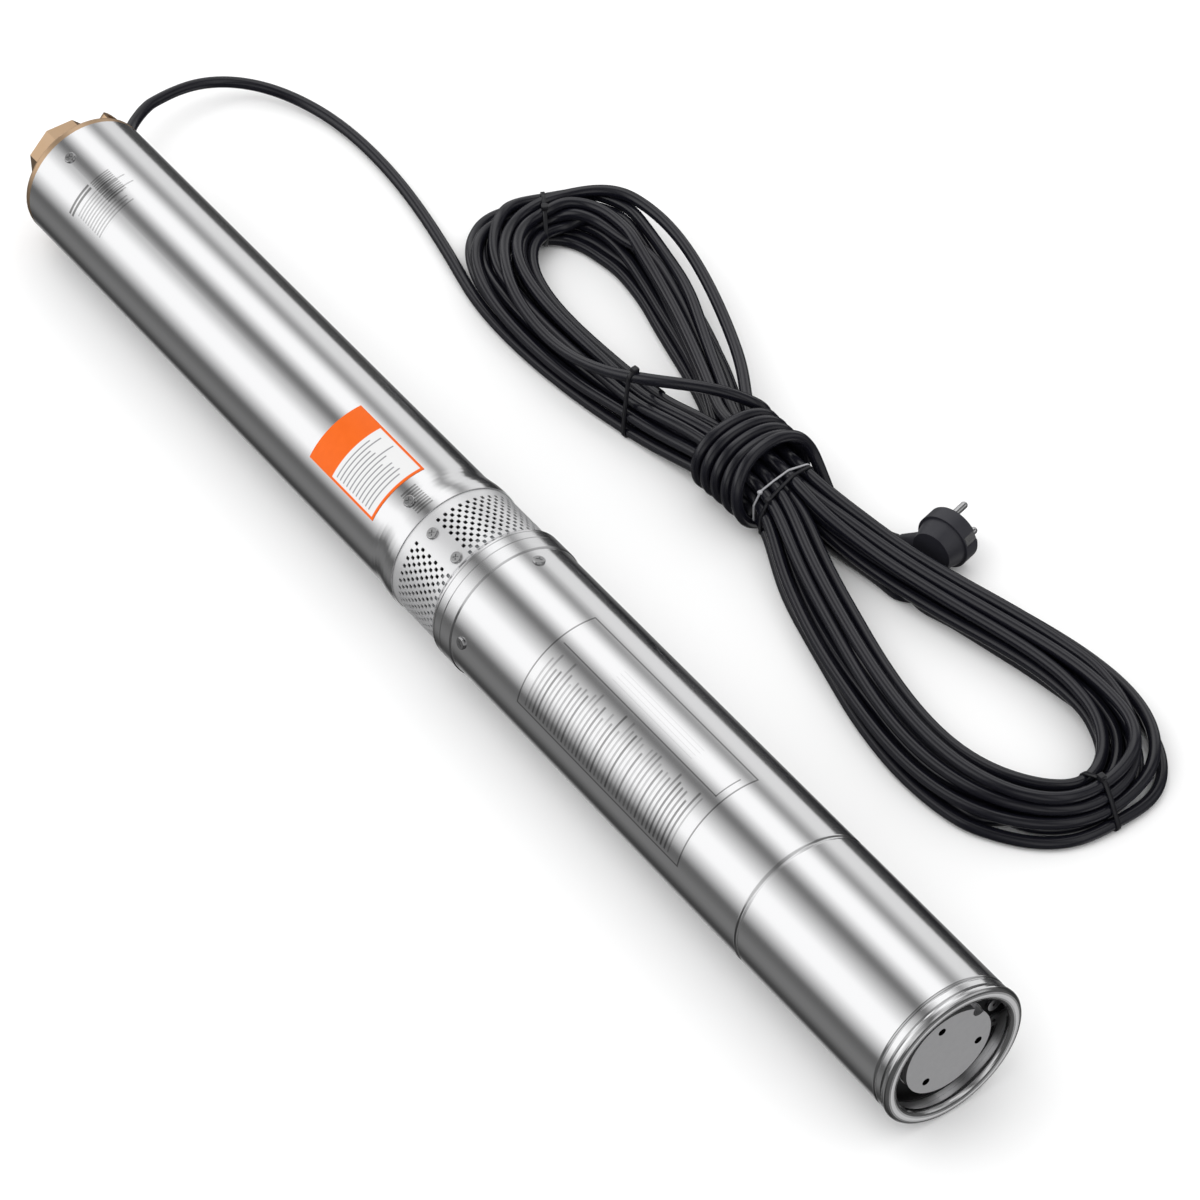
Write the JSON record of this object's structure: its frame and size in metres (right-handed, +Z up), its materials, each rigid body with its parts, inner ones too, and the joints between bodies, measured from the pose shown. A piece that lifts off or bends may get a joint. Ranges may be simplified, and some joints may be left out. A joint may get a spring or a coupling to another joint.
{
  "type": "submersible pump",
  "caption": "Slim cylindrical multistage borehole pump with brass discharge head, perforated inlet, submersible motor, and its mains lead tied in a hank with a plug.",
  "frame": {"origin": "on the floor under the middle of the pump and its cable guard, halfway along the pump", "axes": "+X from the outlet towards the motor's foot, +Y towards the tied cable, +Z up from the floor that the pump lies on"},
  "size_m": [1.0067, 0.3479, 0.098],
  "materials": {
    "brass": "satin, turned",
    "seal_rubber": "matte",
    "steel_part": "turned",
    "valve_plastic": "satin",
    "poppet": "satin",
    "spring_steel": "plain",
    "pump_tube": "brushed round the tube",
    "screw_steel": "plain",
    "stage_steel": "pressed",
    "impeller_plastic": "moulded",
    "bush_carbon": "ground",
    "shaft_steel": "ground",
    "cast_bracket": "machined",
    "top_ring": "turned",
    "strainer_steel": "perforated sheet",
    "guard_steel": "pressed",
    "cord_rubber": "satin",
    "fitting_rubber": "matte",
    "bearing_steel": "ground",
    "core_steel": "laminated",
    "copper_wire": "enamelled winding",
    "capacitor_can": "moulded",
    "foot_plate": "satin",
    "motor_tube": "brushed round the tube",
    "label": "printed film",
    "tie_plastic": "moulded nylon",
    "plug_rubber": "moulded",
    "pin_plating": "nickel plated"
  },
  "bodies": {
    "pump": {"discharge_head": "brass", "head_seal": "seal_rubber", "valve_seat": "steel_part", "valve_guide": "valve_plastic", "pump_shell": "pump_tube", "shell_screws": "screw_steel", "stage_casing_1": "stage_steel", "stage_casing_2": "stage_steel", "stage_casing_3": "stage_steel", "stage_casing_4": "stage_steel", "stage_casing_5": "stage_steel", "stage_casing_6": "stage_steel", "stage_casing_7": "stage_steel", "shaft_bushes": "bush_carbon", "inlet_bracket": "cast_bracket", "strainer_screen": "strainer_steel", "strainer_screws": "screw_steel", "cable_guard": "guard_steel", "guard_rivets": "screw_steel", "guarded_lead": "cord_rubber", "cable_gland": "fitting_rubber", "lead_relief": "fitting_rubber", "motor_top_bracket": "top_ring", "ring_screws": "screw_steel", "seal_seat": "bush_carbon", "upper_bearing": "bearing_steel", "stator_core": "core_steel", "stator_windings": "copper_wire", "lower_bearing": "bearing_steel", "lower_bracket": "cast_bracket", "start_capacitor": "capacitor_can", "pressure_diaphragm": "seal_rubber", "base_plate": "foot_plate", "base_circlip": "spring_steel", "motor_shell": "motor_tube", "label_sticker": "label", "cord_lead": "cord_rubber", "cord_hank": "cord_rubber", "cord_wrap": "cord_rubber", "cord_tail": "cord_rubber", "cable_ties": "tie_plastic", "plug_body": "plug_rubber", "plug_pins": "pin_plating", "earth_clips": "pin_plating"},
    "rotor": {"impeller_1": "impeller_plastic", "impeller_2": "impeller_plastic", "impeller_3": "impeller_plastic", "impeller_4": "impeller_plastic", "impeller_5": "impeller_plastic", "impeller_6": "impeller_plastic", "impeller_7": "impeller_plastic", "pump_shaft": "shaft_steel", "shaft_coupling": "shaft_steel", "seal_ring": "bush_carbon", "motor_rotor": "core_steel", "motor_shaft": "shaft_steel"},
    "valve": {"valve_poppet": "poppet", "valve_spring": "spring_steel"}
  },
  "joints": [
    {"name": "rotor_spin", "type": "hinge", "parent": "pump", "child": "rotor", "pos_m": [0, -0.0053, 0.049], "axis": [1, 0, 0], "continuous": true},
    {"name": "valve_lift", "type": "slide", "parent": "pump", "child": "valve", "axis": [-1, 0, 0], "range_m": [0, 0.008], "stiffness_N_per_m": 150, "springref_m": -0.01, "deforming": ["valve_spring"]}
  ]
}
